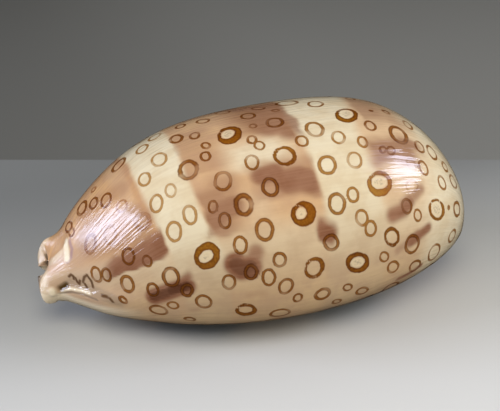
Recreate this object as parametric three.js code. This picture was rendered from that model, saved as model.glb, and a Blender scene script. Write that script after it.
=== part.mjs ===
// Eyed cowrie shell, one grown piece: a rolled body whorl, hollow inside, that opens only through a long
// narrow toothed slit along its base. Millimetres, +Z up, the base resting on Z = 0.
// X runs along the shell with the narrow canal end at -X and the round spire end at +X.
// The outer lip is on the +Y side of the slit and the columella lip on the -Y side.
import * as THREE from 'three';

// Stations along the shell, from the canal end to the spire end. Each one is a tilted cross-section that
// stands on the base at its foot and ends on the back of the shell at its crest, both given as x and z.
// The feet in mid-length lie under the floor plane, which flattens the base where the shell rests on it.
const STATIONS = [
  { at: 0.0, foot: [-36.6, 5.0], crest: [-37.0, 11.2], half: 5.0 },
  { at: 0.06, foot: [-34.4, 3.6], crest: [-34.6, 14.4], half: 6.3 },
  { at: 0.13, foot: [-30.5, 2.0], crest: [-32.8, 17.0], half: 8.9 },
  { at: 0.22, foot: [-25.0, 0.8], crest: [-27.5, 22.2], half: 13.6 },
  { at: 0.33, foot: [-17.0, -0.1], crest: [-18.8, 27.8], half: 18.6 },
  { at: 0.45, foot: [-7.0, -0.5], crest: [-8.0, 30.8], half: 21.7 },
  { at: 0.57, foot: [3.0, -0.5], crest: [3.1, 32.0], half: 22.4 },
  { at: 0.68, foot: [12.0, -0.4], crest: [13.7, 32.4], half: 21.3 },
  { at: 0.78, foot: [20.0, 0.1], crest: [23.6, 30.6], half: 18.9 },
  { at: 0.87, foot: [27.0, 1.2], crest: [32.2, 24.5], half: 15.0 },
  { at: 0.94, foot: [32.0, 2.6], crest: [37.4, 16.4], half: 10.3 },
  { at: 1.0, foot: [35.8, 4.4], crest: [39.0, 9.4], half: 5.2 },
];

// Shape of a cross-section: the level of its greatest width as a share of its height, and how full
// its upper and lower halves are, 2 being an ellipse. Each is given in mid-length and at the two ends.
const WIDEST_LEVEL = { middle: 0.4, ends: 0.45 };
const UPPER_FULLNESS = { middle: 2.2, ends: 2.05 };
const LOWER_FULLNESS = { middle: 2.6, ends: 2.15 };

// Rims of the two ends, seen from the slit on the outer lip side over the notch to the slit on the
// columella side. Each has two flared lobes with a notch between them. The angle is about the middle of
// the end's opening.
const CANAL_RIM = [
  { angle: 180, x: -36.8, y: 1.6, z: 5.8 },
  { angle: 135, x: -38.1, y: 3.7, z: 6.5 },
  { angle: 90, x: -38.6, y: 5.0, z: 9.0 },
  { angle: 45, x: -37.4, y: 3.7, z: 12.4 },
  { angle: 0, x: -37.1, y: 0.3, z: 10.4 },
  { angle: -45, x: -38.0, y: -2.9, z: 9.8 },
  { angle: -90, x: -39.0, y: -5.0, z: 7.8 },
  { angle: -135, x: -38.4, y: -5.2, z: 4.5 },
  { angle: -180, x: -36.7, y: -2.6, z: 3.6 },
];
const SPIRE_RIM = [
  { angle: 180, x: 36.6, y: 0.6, z: 4.4 },
  { angle: 135, x: 38.2, y: 3.2, z: 5.0 },
  { angle: 90, x: 39.0, y: 5.0, z: 7.2 },
  { angle: 45, x: 38.6, y: 3.2, z: 9.6 },
  { angle: 0, x: 38.0, y: -0.8, z: 9.4 },
  { angle: -45, x: 38.2, y: -4.4, z: 9.0 },
  { angle: -90, x: 38.3, y: -5.6, z: 6.9 },
  { angle: -135, x: 37.6, y: -4.8, z: 4.9 },
  { angle: -180, x: 36.2, y: -3.0, z: 4.3 },
];
const RIM_REACH = 0.12;

// Ledge of callus along the lower edge of the canal end, with a shallow groove above it.
const LEDGE_HEIGHT = 0.8;
const LEDGE_GROOVE = 0.35;
const LEDGE_START = 0.03;
const LEDGE_END = 0.3;

// Walls: thin over the back and thick in the two lips, evening out towards the ends of the shell, which
// have a rounded edge.
const BACK_WALL = { middle: 1.7, ends: 2.6 };
const LIP_WALL = { middle: 4.4, ends: 2.4 };
const HOLLOW_FULLNESS = 2.1;
const LEAST_HOLLOW = 0.4;
const END_EDGE = 0.02;
const END_EDGE_SHARE = 0.45;

// Slit: where its middle runs, its half width, how much wider the hollow is above it, the radius of the
// lips' outer corners, and the teeth.
const SLIT_PATH = [
  { at: 0.0, y: 0.0, half: 1.8 },
  { at: 0.25, y: 1.2, half: 1.75 },
  { at: 0.55, y: 2.2, half: 1.65 },
  { at: 0.8, y: 1.4, half: 1.55 },
  { at: 0.92, y: 0.2, half: 1.5 },
  { at: 1.0, y: -0.6, half: 1.5 },
];
const UNDERCUT = 0.3;
const LIP_RADIUS = { middle: 1.6, ends: 1.0 };
const RIDGE = { inward: 0.5, hollow: 0 };
const GROOVE = { inward: -0.15, hollow: 0.35 };
const SMOOTH = { inward: 0, hollow: 0 };
const FIRST_TOOTH = 0.03;
const LAST_TOOTH = 0.97;

// Fineness of the faceted surface. Every tooth takes two stations, one for its ridge and one for the
// groove beside it.
const TEETH = 38;
const OUTER_STEPS = 32;
const INNER_STEPS = 16;
const EDGE_STATIONS = [0.0, 0.004, 0.012];

const COLOUR = 0xd9c3a0;

// The natural cubic spline through the given points, as a function.
function spline(knots, values) {
  const last = knots.length - 1;
  const slope = (i) => (values[i + 1] - values[i]) / (knots[i + 1] - knots[i]);
  const factor = new Array(last + 1).fill(0);
  const bend = new Array(last + 1).fill(0);
  for (let i = 1; i < last; i++) {
    const span = knots[i + 1] - knots[i - 1];
    const share = (knots[i] - knots[i - 1]) / span;
    const pivot = share * factor[i - 1] + 2;
    factor[i] = (share - 1) / pivot;
    bend[i] = ((6 * (slope(i) - slope(i - 1))) / span - share * bend[i - 1]) / pivot;
  }
  for (let i = last - 1; i > 0; i--) {
    bend[i] += factor[i] * bend[i + 1];
  }
  return (at) => {
    let i = 0;
    while (i < last - 1 && at > knots[i + 1]) i++;
    const step = knots[i + 1] - knots[i];
    const b = (at - knots[i]) / step;
    const a = 1 - b;
    const curve = ((a ** 3 - a) * bend[i] + (b ** 3 - b) * bend[i + 1]) * (step ** 2 / 6);
    return a * values[i] + b * values[i + 1] + curve;
  };
}

// One value of a list of points, as a spline over the points' own positions.
function along(points, position, value) {
  return spline(points.map(position), points.map(value));
}

// A rim as a curve in space over the angle.
function rimCurve(rim) {
  const rising = [...rim].reverse();
  const x = along(rising, (p) => p.angle, (p) => p.x);
  const y = along(rising, (p) => p.angle, (p) => p.y);
  const z = along(rising, (p) => p.angle, (p) => p.z);
  return (angle) => new THREE.Vector3(x(angle), y(angle), z(angle));
}

const footX = along(STATIONS, (s) => s.at, (s) => s.foot[0]);
const footZ = along(STATIONS, (s) => s.at, (s) => s.foot[1]);
const crestX = along(STATIONS, (s) => s.at, (s) => s.crest[0]);
const crestZ = along(STATIONS, (s) => s.at, (s) => s.crest[1]);
const halfWidth = along(STATIONS, (s) => s.at, (s) => s.half);
const slitY = along(SLIT_PATH, (s) => s.at, (s) => s.y);
const slitHalf = along(SLIT_PATH, (s) => s.at, (s) => s.half);

const canalRim = rimCurve(CANAL_RIM);
const spireRim = rimCurve(SPIRE_RIM);

// A measure that changes evenly from mid-length to both ends.
function towardsEnds(measure, t) {
  return measure.middle + (measure.ends - measure.middle) * (2 * t - 1) ** 2;
}

// The frame of the cross-section at t: its foot, the direction up to its crest, and its measures.
function sectionAt(t) {
  const foot = new THREE.Vector3(footX(t), 0, footZ(t));
  const up = new THREE.Vector3(crestX(t), 0, crestZ(t)).sub(foot);
  const height = up.length();
  up.normalize();
  const level = towardsEnds(WIDEST_LEVEL, t) * height;
  return { t, foot, up, height, level, half: halfWidth(t) };
}

// Height of the ledge, less its groove, on a section at an angle from its crest.
function ledge(t, theta) {
  const rise = THREE.MathUtils.smoothstep(t, LEDGE_START, 3 * LEDGE_START);
  const fade = 1 - THREE.MathUtils.smoothstep(t, LEDGE_END / 2, LEDGE_END);
  const below = THREE.MathUtils.radToDeg(Math.abs(theta)) - 90;
  const ridge = THREE.MathUtils.smoothstep(below, -4, 6) * (1 - THREE.MathUtils.smoothstep(below, 12, 60));
  const groove = Math.exp(-(((below + 9) / 7) ** 2));
  return rise * fade * (LEDGE_HEIGHT * ridge - LEDGE_GROOVE * groove);
}

// The measures of a section's outer outline: its half width, its reach up and down from its widest
// level, and how full each half is.
function outerShape(section) {
  const { t, height, level, half } = section;
  const fullness = [towardsEnds(UPPER_FULLNESS, t), towardsEnds(LOWER_FULLNESS, t)];
  return { level, half, reach: [height - level, level], fullness };
}

// The same for the hollow: the outer outline less the walls, and always wider than the slit.
function hollowShape(section) {
  const { t, height, level, half } = section;
  const wall = towardsEnds(BACK_WALL, t);
  const widest = Math.max(half - wall, Math.abs(slitY(t)) + slitHalf(t) + 2 * UNDERCUT);
  const above = Math.max(height - level - wall, LEAST_HOLLOW * (height - level));
  const below = Math.max(level - towardsEnds(LIP_WALL, t), LEAST_HOLLOW * level);
  return { level, half: widest, reach: [above, below], fullness: [HOLLOW_FULLNESS, HOLLOW_FULLNESS] };
}

// A point of an outline, a superellipse about its widest level, as its place across and its height over
// the foot. A growth moves it straight out.
function outlinePoint(shape, theta, growth = 0) {
  const part = Math.cos(theta) >= 0 ? 0 : 1;
  const power = shape.fullness[part];
  const across = Math.abs(Math.sin(theta) / shape.half) ** power;
  const upright = Math.abs(Math.cos(theta) / shape.reach[part]) ** power;
  const radius = (across + upright) ** (-1 / power) + growth;
  return new THREE.Vector2(radius * Math.sin(theta), shape.level + radius * Math.cos(theta));
}

// The angle at which the lower half of an outline is the given distance across, counted from the crest
// down the given side, which passes the foot where the slit lies wholly on the other side of it.
function angleAcross(shape, across, side) {
  const power = shape.fullness[1];
  const drop = shape.reach[1] * (1 - Math.abs(across / shape.half) ** power) ** (1 / power);
  return side * (Math.PI - Math.atan2(side * across, drop));
}

// How far a point near one end moves to bring the plain section there onto the end's flared rim.
function rimOffset(t, theta) {
  const end = Math.round(t);
  const rim = end === 0 ? canalRim : spireRim;
  const plain = sectionAt(end);
  const blend = Math.max(0, 1 - Math.abs(t - end) / RIM_REACH) ** 3;
  const point = outlinePoint(outerShape(plain), theta, ledge(end, theta));
  const offset = rim(THREE.MathUtils.radToDeg(theta)).sub(toSpace(plain, point));
  return offset.multiplyScalar(blend);
}

// A section's own point in space.
function toSpace(section, point) {
  const place = section.foot.clone().addScaledVector(section.up, point.y);
  place.y = point.x;
  return place;
}

// One lip of the slit: its rounded outer corner and the upper end of its face. A tooth's ridge stands
// into the slit, and the groove beside it is hollowed up into the base.
function lip(t, side, outer, inner, relief) {
  const face = slitY(t) + side * (slitHalf(t) - relief.inward);
  const radius = towardsEnds(LIP_RADIUS, t);
  const corner = radius * (1 - Math.SQRT1_2);
  return [
    new THREE.Vector2(face + side * corner, outer.y + corner + relief.hollow),
    new THREE.Vector2(face, outer.y + radius),
    new THREE.Vector2(face, inner.y - UNDERCUT),
  ];
}

// The closed loop of points at t: the outside from the outer lip over the back to the columella lip,
// that lip's edge, the hollow's wall back again, and the outer lip's edge.
function loopAt(t, relief) {
  const section = sectionAt(t);
  const outer = outerShape(section);
  const hollow = hollowShape(section);
  const lipReach = slitHalf(t) + towardsEnds(LIP_RADIUS, t);
  const hollowReach = slitHalf(t) + UNDERCUT;
  const edge = Math.min(1, Math.min(t, 1 - t) / END_EDGE);
  const thick = END_EDGE_SHARE + (1 - END_EDGE_SHARE) * Math.sqrt(1 - (1 - edge) ** 2);

  const outsideAt = (theta) => outlinePoint(outer, theta, ledge(t, theta));
  const place = (point, middle, theta) => {
    const spot = toSpace(section, middle.clone().lerp(point, thick)).add(rimOffset(t, theta));
    spot.z = Math.max(spot.z, 0);
    return spot;
  };
  const sweep = (shape, reach, steps, make) => {
    const from = angleAcross(shape, slitY(t) + reach, 1);
    const to = angleAcross(shape, slitY(t) - reach, -1);
    return Array.from({ length: steps + 1 }, (_, j) => make(from + ((to - from) * j) / steps));
  };
  const outside = sweep(outer, lipReach, OUTER_STEPS, (theta) => {
    const point = outsideAt(theta);
    return { theta, point, middle: point.clone().lerp(outlinePoint(hollow, theta), 0.5) };
  });
  const inside = sweep(hollow, hollowReach, INNER_STEPS, (theta) => {
    const point = outlinePoint(hollow, theta);
    return { theta, point, middle: point.clone().lerp(outsideAt(theta), 0.5) };
  }).reverse();
  const lipEdge = (side, out, inn) => {
    const points = lip(t, side, out.point, inn.point, relief);
    return points.map((point, index) => {
      const share = (index + 1) / (points.length + 1);
      const theta = THREE.MathUtils.lerp(out.theta, inn.theta, share);
      return place(point, out.middle.clone().lerp(inn.middle, share), theta);
    });
  };
  const placed = ({ theta, point, middle }) => place(point, middle, theta);
  return [
    ...outside.map(placed),
    ...lipEdge(-1, outside[OUTER_STEPS], inside[0]),
    ...inside.map(placed),
    ...lipEdge(1, outside[0], inside[INNER_STEPS]).reverse(),
  ];
}

// The stations of the faceted surface: close together at both rounded ends, and two to a tooth between.
function surfaceStations() {
  const stations = EDGE_STATIONS.map((t) => ({ t, relief: SMOOTH }));
  for (let i = 0; i <= 2 * TEETH; i++) {
    const t = THREE.MathUtils.lerp(FIRST_TOOTH, LAST_TOOTH, i / (2 * TEETH));
    stations.push({ t, relief: i % 2 === 1 ? RIDGE : GROOVE });
  }
  return [...stations, ...EDGE_STATIONS.map((t) => ({ t: 1 - t, relief: SMOOTH })).reverse()];
}

// Closes one end of the shell: a strip between the outside and the hollow, two outer steps to each inner
// one, and a fan over each lip's edge.
function endFaces(size, base, turn) {
  const faces = [];
  const add = (a, b, c) => faces.push(...(turn ? [a, c, b] : [a, b, c]).map((index) => base + index));
  const hollowStart = OUTER_STEPS + 4;
  const hollowEnd = hollowStart + INNER_STEPS;
  for (let k = 0; k < INNER_STEPS; k++) {
    const inner = hollowEnd - k;
    add(2 * k, inner, 2 * k + 1);
    add(2 * k + 1, inner, inner - 1);
    add(2 * k + 1, inner - 1, 2 * k + 2);
  }
  for (let j = OUTER_STEPS + 1; j < hollowStart; j++) add(OUTER_STEPS, j + 1, j);
  for (let j = hollowEnd; j < size - 1; j++) add(0, j + 1, j);
  return faces;
}

// The whole shell as one closed surface.
function shellGeometry() {
  const loops = surfaceStations().map(({ t, relief }) => loopAt(t, relief));
  const size = loops[0].length;
  const faces = [];
  for (let i = 0; i < loops.length - 1; i++) {
    for (let j = 0; j < size; j++) {
      const next = (j + 1) % size;
      const here = i * size;
      const ahead = here + size;
      faces.push(here + j, here + next, ahead + next);
      faces.push(here + j, ahead + next, ahead + j);
    }
  }
  faces.push(...endFaces(size, 0, false));
  faces.push(...endFaces(size, (loops.length - 1) * size, true));
  const geometry = new THREE.BufferGeometry();
  geometry.setFromPoints(loops.flat());
  geometry.setIndex(faces);
  geometry.computeVertexNormals();
  return geometry;
}

function shell() {
  const material = new THREE.MeshStandardMaterial({ color: COLOUR, roughness: 0.2, metalness: 0 });
  const mesh = new THREE.Mesh(shellGeometry(), material);
  mesh.name = 'shell';
  return mesh;
}

const part = new THREE.Group();
part.add(shell());

export default part;
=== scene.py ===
"""An eyed cowrie shell lying on its toothed base, seen from in front and above."""

import math

import bpy
import numpy as np
from mathutils import Matrix, Vector
from mathutils.bvhtree import BVHTree


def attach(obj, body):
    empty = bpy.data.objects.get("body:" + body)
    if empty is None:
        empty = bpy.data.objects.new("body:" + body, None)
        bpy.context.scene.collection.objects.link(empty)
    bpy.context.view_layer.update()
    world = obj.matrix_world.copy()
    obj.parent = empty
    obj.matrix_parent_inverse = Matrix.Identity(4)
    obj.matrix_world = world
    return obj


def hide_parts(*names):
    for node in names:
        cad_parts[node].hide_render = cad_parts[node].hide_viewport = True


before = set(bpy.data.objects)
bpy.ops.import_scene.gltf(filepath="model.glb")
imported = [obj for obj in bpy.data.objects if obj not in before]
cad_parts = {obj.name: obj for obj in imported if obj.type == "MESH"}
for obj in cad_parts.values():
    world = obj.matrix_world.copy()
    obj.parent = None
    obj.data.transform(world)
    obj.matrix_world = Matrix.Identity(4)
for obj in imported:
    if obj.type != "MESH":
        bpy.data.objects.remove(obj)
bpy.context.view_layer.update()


# The camera. It stands in front of the shell and a little to its canal end, and looks down on it.
# Its place, and its focal length in pixels of the 500 pixel wide picture, come from the shell's
# outline there.
PICTURE = (500, 411)
LENS_PIXELS = 850.0
AXIS_PIXEL = (253.31, 209.41)
ELEVATION = math.radians(26.46)
YAW = math.radians(16.98)
DISTANCE_MM = 150.4
TARGET_MM = np.array([-0.95, 0.0, 14.5])
SENSOR_MM = 36.0
CLIP_M = (0.01, 20.0)
MM_PER_M = 1000

camera_back = np.array([
    -math.sin(YAW) * math.cos(ELEVATION),
    -math.cos(YAW) * math.cos(ELEVATION),
    math.sin(ELEVATION),
])
camera_right = np.array([math.cos(YAW), -math.sin(YAW), 0.0])
camera_up = np.cross(camera_back, camera_right)
camera_place = TARGET_MM + DISTANCE_MM * camera_back

lens = bpy.data.cameras.new("camera")
lens.sensor_width = SENSOR_MM
lens.lens = SENSOR_MM * LENS_PIXELS / PICTURE[0]
lens.shift_x = (PICTURE[0] / 2 - AXIS_PIXEL[0]) / PICTURE[0]
lens.shift_y = (AXIS_PIXEL[1] - PICTURE[1] / 2) / PICTURE[0]
lens.clip_start, lens.clip_end = CLIP_M
camera = bpy.data.objects.new("camera", lens)
turned = Matrix(np.column_stack([camera_right, camera_up, camera_back]).tolist()).to_4x4()
camera.matrix_world = Matrix.Translation(Vector(camera_place / MM_PER_M)) @ turned
bpy.context.scene.collection.objects.link(camera)
bpy.context.scene.camera = camera


# The shell: one grown piece, a rolled whorl that is hollow inside and opens only through the
# toothed slit along its base. It is aragonite, laid down by the animal in glossy layers, so the
# rings and patches lie in the surface and not on it.
STATIONS = [
    # share of the length, foot x and z, crest x and z, half width, in millimetres
    (0.00, -36.6, 5.0, -37.0, 11.2, 5.0), (0.06, -34.4, 3.6, -34.6, 14.4, 6.3),
    (0.13, -30.5, 2.0, -32.8, 17.0, 8.9), (0.22, -25.0, 0.8, -27.5, 22.2, 13.6),
    (0.33, -17.0, -0.1, -18.8, 27.8, 18.6), (0.45, -7.0, -0.5, -8.0, 30.8, 21.7),
    (0.57, 3.0, -0.5, 3.1, 32.0, 22.4), (0.68, 12.0, -0.4, 13.7, 32.4, 21.3),
    (0.78, 20.0, 0.1, 23.6, 30.6, 18.9), (0.87, 27.0, 1.2, 32.2, 24.5, 15.0),
    (0.94, 32.0, 2.6, 37.4, 16.4, 10.3), (1.00, 35.8, 4.4, 39.0, 9.4, 5.2),
]
CANAL_RIM = [
    # degrees from the notch, x, y, z
    (-180, -36.7, -2.6, 3.6), (-135, -38.4, -5.2, 4.5), (-90, -39.0, -5.0, 7.8),
    (-45, -38.0, -2.9, 9.8), (0, -37.1, 0.3, 10.4), (45, -37.4, 3.7, 12.4), (90, -38.6, 5.0, 9.0),
    (135, -38.1, 3.7, 6.5), (180, -36.8, 1.6, 5.8),
]
SPIRE_RIM = [
    (-180, 36.2, -3.0, 4.3), (-135, 37.6, -4.8, 4.9), (-90, 38.3, -5.6, 6.9),
    (-45, 38.2, -4.4, 9.0), (0, 38.0, -0.8, 9.4), (45, 38.6, 3.2, 9.6), (90, 39.0, 5.0, 7.2),
    (135, 38.2, 3.2, 5.0), (180, 36.6, 0.6, 4.4),
]
SLIT_PATH = [
    # share of the length, y of the slit's middle, half its width
    (0.00, 0.0, 1.8), (0.25, 1.2, 1.75), (0.55, 2.2, 1.65), (0.80, 1.4, 1.55), (0.92, 0.2, 1.5),
    (1.00, -0.6, 1.5),
]
# In mid-length and at both ends: the level of the greatest width as a share of the height, how full
# the halves above and below it are, 2 being an ellipse, the walls, and the lips' outer corners.
WIDEST_LEVEL = (0.4, 0.45)
UPPER_FULLNESS = (2.2, 2.05)
LOWER_FULLNESS = (2.6, 2.15)
BACK_WALL = (1.7, 2.6)
LIP_WALL = (4.4, 2.4)
LIP_RADIUS = (1.6, 1.0)
# The hollow's fullness, its least reach as a share of the outside's, and its overhang at the slit.
HOLLOW_FULLNESS = 2.1
LEAST_HOLLOW = 0.4
UNDERCUT = 0.3
# Shares of the length over which a section flares onto the rim and over which the wall's edge is
# rounded, the edge's own share of the wall, and how far the canal end's hollow is narrowed, in half
# walls, and over which share of the length.
RIM_REACH = 0.12
END_EDGE = 0.02
END_EDGE_SHARE = 0.2
HOLLOW_CLOSING = 1.3
CLOSING_REACH = 0.05
# The ledge of callus: its height and its groove's depth, the shares of the length where it rises
# and fades, and the degrees below the widest place where its top begins, where its foot ends, and
# where the groove's middle is, with its width.
LEDGE_HEIGHT = 0.8
LEDGE_GROOVE = 0.35
LEDGE_RISE = (0.03, 0.09)
LEDGE_FADE = (0.15, 0.3)
LEDGE_TOP = (-4, 6)
LEDGE_FOOT = (12, 60)
GROOVE_BELOW, GROOVE_WIDTH = -9, 7
# The crease between the canal end's lobes: its degrees from the crest for each share of the length,
# its step, where it fades, and in mm from its line where it steps down and where it comes up again.
CREASE = [(0.0, 2.0), (0.008, -10.0), (0.02, -20.0), (0.09, -22.0)]
CREASE_STEP = 0.5
CREASE_FADE = (0.05, 0.12)
CREASE_DOWN = (-0.1, 0.5)
CREASE_UP = (1.0, 4.5)
CREASE_ARC = 1.5
# The teeth: their number, the shares of the length where they begin and end, how far a ridge stands
# into the slit and a groove back from it, and the groove's depth and reach over the base.
TEETH = 38
FIRST_TOOTH = 0.03
LAST_TOOTH = 0.97
TOOTH_EASE = 0.01
TOOTH_RIDGE = 0.5
TOOTH_GROOVE = -0.15
GROOVE_DEPTH = 0.35
GROOVE_REACH = 2.4
# Fineness: rows up to a share of the length and beyond it, rows in each rounded end, and steps
# round the outside, a lip's corner, a lip's face and the hollow.
SNOUT_SHARE, SNOUT_ROWS = 0.2, 80
BODY_ROWS = 190
END_STEPS = 9
OUTER_STEPS = 232
CORNER_STEPS = 7
FACE_STEPS = 5
INNER_STEPS = 48
HOLLOW_FIRST = OUTER_STEPS + 1 + CORNER_STEPS + FACE_STEPS
HOLLOW_LAST = HOLLOW_FIRST + INNER_STEPS


def spline(knots, values):
    """The natural cubic spline through the values at the knots: its second derivative is linear
    between knots, nought at both ends, and makes the slopes meet."""
    knots, values = np.array(knots, float), np.array(values, float)
    gap = np.diff(knots)
    inner = np.arange(1, len(knots) - 1)
    system = np.eye(len(knots))
    system[inner, inner - 1] = gap[:-1]
    system[inner, inner] = 2 * (gap[:-1] + gap[1:])
    system[inner, inner + 1] = gap[1:]
    turn = np.zeros(len(knots))
    turn[inner] = 6 * np.diff(np.diff(values) / gap)
    bend = np.linalg.solve(system, turn)

    def curve(at):
        i = np.clip(np.searchsorted(knots, at, side="right") - 1, 0, len(gap) - 1)
        b = (at - knots[i]) / gap[i]
        a = 1 - b
        lift = ((a ** 3 - a) * bend[i] + (b ** 3 - b) * bend[i + 1]) * gap[i] ** 2 / 6
        return a * values[i] + b * values[i + 1] + lift

    return curve


def smooth(value, low, high):
    """0 below low, 1 above high, and 3s^2 - 2s^3 of the share s between them."""
    share = np.clip((value - low) / (high - low), 0, 1)
    return share * share * (3 - 2 * share)


def splines(table):
    """A spline over a table's first column for each of its other columns."""
    columns = np.array(table).T
    return [spline(columns[0], column) for column in columns[1:]]


foot_x, foot_z, crest_x, crest_z, half_width = splines(STATIONS)
slit_y, slit_half = splines(SLIT_PATH)
canal_rim, spire_rim = splines(CANAL_RIM), splines(SPIRE_RIM)


def towards_ends(measure, t):
    """The first value in mid-length and the second at both ends, by the square of the distance."""
    return measure[0] + (measure[1] - measure[0]) * (2 * t - 1) ** 2


def section_height(t):
    """The distance from a section's foot to its crest."""
    return np.hypot(crest_x(t) - foot_x(t), crest_z(t) - foot_z(t))


def ledge(t, theta):
    """Height of the callus ledge along the lower edge of the canal end, less the groove above it:
    a smooth step up at the widest place, fading to the base, less a bell curve, times its rise."""
    rise = smooth(t, *LEDGE_RISE) * (1 - smooth(t, *LEDGE_FADE))
    below = np.degrees(np.abs(theta)) - 90
    ridge = smooth(below, *LEDGE_TOP) * (1 - smooth(below, *LEDGE_FOOT))
    groove = np.exp(-(((below - GROOVE_BELOW) / GROOVE_WIDTH) ** 2))
    return rise * (LEDGE_HEIGHT * ridge - LEDGE_GROOVE * groove)


def crease(t, theta):
    """The step between the canal end's two lobes: a smooth step down beside the crease line and one
    up again further on. The distance is an arc of the half width and a little."""
    line = spline(*zip(*CREASE))(np.clip(t, 0, CREASE[-1][0]))
    away = np.radians(np.degrees(theta) - line) * (half_width(t) + CREASE_ARC)
    low = smooth(away, *CREASE_DOWN) * (1 - smooth(away, *CREASE_UP))
    return -CREASE_STEP * (1 - smooth(t, *CREASE_FADE)) * low


def measures(t, hollow):
    """A section's widest level over its foot, its half width there, its reach above and below, and
    how full both halves are. The hollow's are the outer ones less the walls, and its half width is
    always more than the slit's."""
    height = section_height(t)
    level = towards_ends(WIDEST_LEVEL, t) * height
    half, above, below = half_width(t), height - level, level
    fullness = [towards_ends(UPPER_FULLNESS, t), towards_ends(LOWER_FULLNESS, t)]
    if hollow:
        wall = towards_ends(BACK_WALL, t)
        half = np.maximum(half - wall, np.abs(slit_y(t)) + slit_half(t) + 2 * UNDERCUT)
        above = np.maximum(above - wall, LEAST_HOLLOW * above)
        below = np.maximum(below - towards_ends(LIP_WALL, t), LEAST_HOLLOW * below)
        fullness = [HOLLOW_FULLNESS, HOLLOW_FULLNESS]
    return level, half, above, below, *fullness


def outline(t, theta, hollow=False):
    """A section's superellipse about its widest level, as the place across and the height over the
    foot: radius (|sin/half|^p + |cos/reach|^p)^(-1/p), with p and reach of the upper or lower half.
    The outer one has the ledge and the crease added."""
    level, half, above, below, upper, lower = measures(t, hollow)
    rising = np.cos(theta) >= 0
    power = np.where(rising, upper, lower)
    reach = np.where(rising, above, below)
    shares = np.abs(np.sin(theta) / half) ** power + np.abs(np.cos(theta) / reach) ** power
    radius = shares ** (-1 / power) + (0 if hollow else ledge(t, theta) + crease(t, theta))
    return radius * np.sin(theta), level + radius * np.cos(theta)


def angle_across(t, across, side, hollow=False):
    """The angle from the crest, down one side, at which the lower outline is that far across."""
    _, half, _, drop, _, power = measures(t, hollow)
    depth = drop * (1 - np.abs(across / half) ** power) ** (1 / power)
    return side * (np.pi - np.arctan2(side * across, depth))


def in_space(t, across, height):
    """A section's point in space: its foot, moved up its own tilted axis, and across."""
    tall = section_height(t)
    x = foot_x(t) + (crest_x(t) - foot_x(t)) * height / tall
    z = foot_z(t) + (crest_z(t) - foot_z(t)) * height / tall
    return np.stack([x, across, z], axis=-1)


def rim_offset(t, theta):
    """How far a point near an end moves onto the flared rim: the rim's own curve less the plain end
    section, times the cube of the nearness to the end."""
    moved = 0
    for end, rim in ((0.0, canal_rim), (1.0, spire_rim)):
        plain = in_space(np.full_like(theta, end), *outline(np.full_like(theta, end), theta))
        aim = np.stack([axis(np.degrees(theta)) for axis in rim], axis=-1)
        near = np.clip(1 - np.abs(t - end) / RIM_REACH, 0, 1) ** 3
        moved = moved + (near * np.ones_like(theta))[..., None] * (aim - plain)
    return moved


def row_shares():
    """The share of the length of each loop of points: closer together in both rounded ends, by one
    less a cosine, and over the canal end."""
    ease = 1 - np.cos(np.linspace(0, np.pi / 2, END_STEPS, endpoint=False))
    middle = np.concatenate([
        np.linspace(END_EDGE, SNOUT_SHARE, SNOUT_ROWS, endpoint=False),
        np.linspace(SNOUT_SHARE, 1 - END_EDGE, BODY_ROWS + 1),
    ])
    return np.concatenate([END_EDGE * ease, middle, 1 - END_EDGE * ease[::-1]])[:, None]


def tooth_waves(t):
    """The ridges as waves of sin^2 along the lips, how far they stand into the slit, and the depth
    of the grooves between them."""
    teeth = smooth(t, FIRST_TOOTH - TOOTH_EASE, FIRST_TOOTH + TOOTH_EASE)
    teeth = teeth * (1 - smooth(t, LAST_TOOTH - TOOTH_EASE, LAST_TOOTH + TOOTH_EASE))
    wave = np.sin(np.pi * TEETH * (t - FIRST_TOOTH) / (LAST_TOOTH - FIRST_TOOTH)) ** 2
    inward = teeth * (TOOTH_GROOVE + (TOOTH_RIDGE - TOOTH_GROOVE) * wave)
    return teeth * wave, inward, teeth * GROOVE_DEPTH * (1 - wave)


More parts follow.
